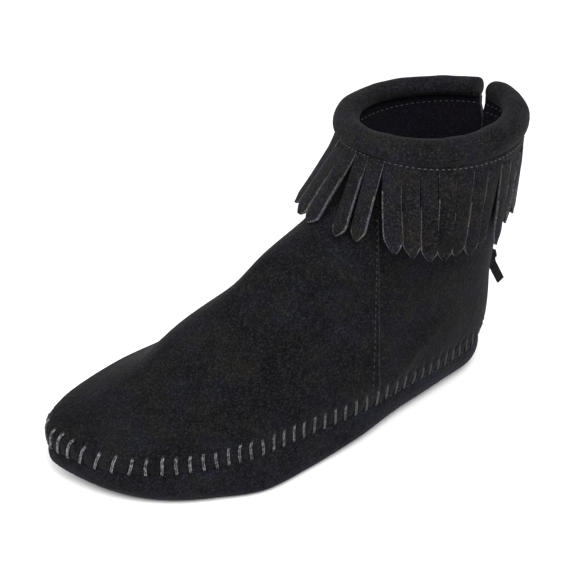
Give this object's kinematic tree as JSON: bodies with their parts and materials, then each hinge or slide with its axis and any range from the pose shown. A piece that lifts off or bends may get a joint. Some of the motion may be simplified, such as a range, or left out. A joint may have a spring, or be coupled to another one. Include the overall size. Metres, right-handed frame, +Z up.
{
  "type": "ankle moccasin boot",
  "caption": "Ankle moccasin boot in black suede, with a whipstitched soft sole, a padded roll collar, a cut fringe below it and a lace tied at the back slit.",
  "frame": {"origin": "on the floor under the middle of the boot, measured without the loose knot and lace ends", "axes": "+X from heel to toe, +Y to the outer side of the left foot, +Z up from the floor"},
  "size_m": [0.2701, 0.1064, 0.1558],
  "materials": {
    "sole_suede": "matt suede",
    "insole_lining": "matt woven lining",
    "upper_suede": "matt suede",
    "fringe_suede": "matt suede with raw cut edges",
    "lace": "matt flat lace"
  },
  "bodies": {
    "root": {"sole": "sole_suede", "insole": "insole_lining", "upper": "upper_suede", "collar": "upper_suede", "fringe": "fringe_suede", "heel_tab": "upper_suede", "tie_bar": "lace", "tie_knot": "lace", "tie_end_outer": "lace", "tie_end_inner": "lace"}
  },
  "joints": []
}
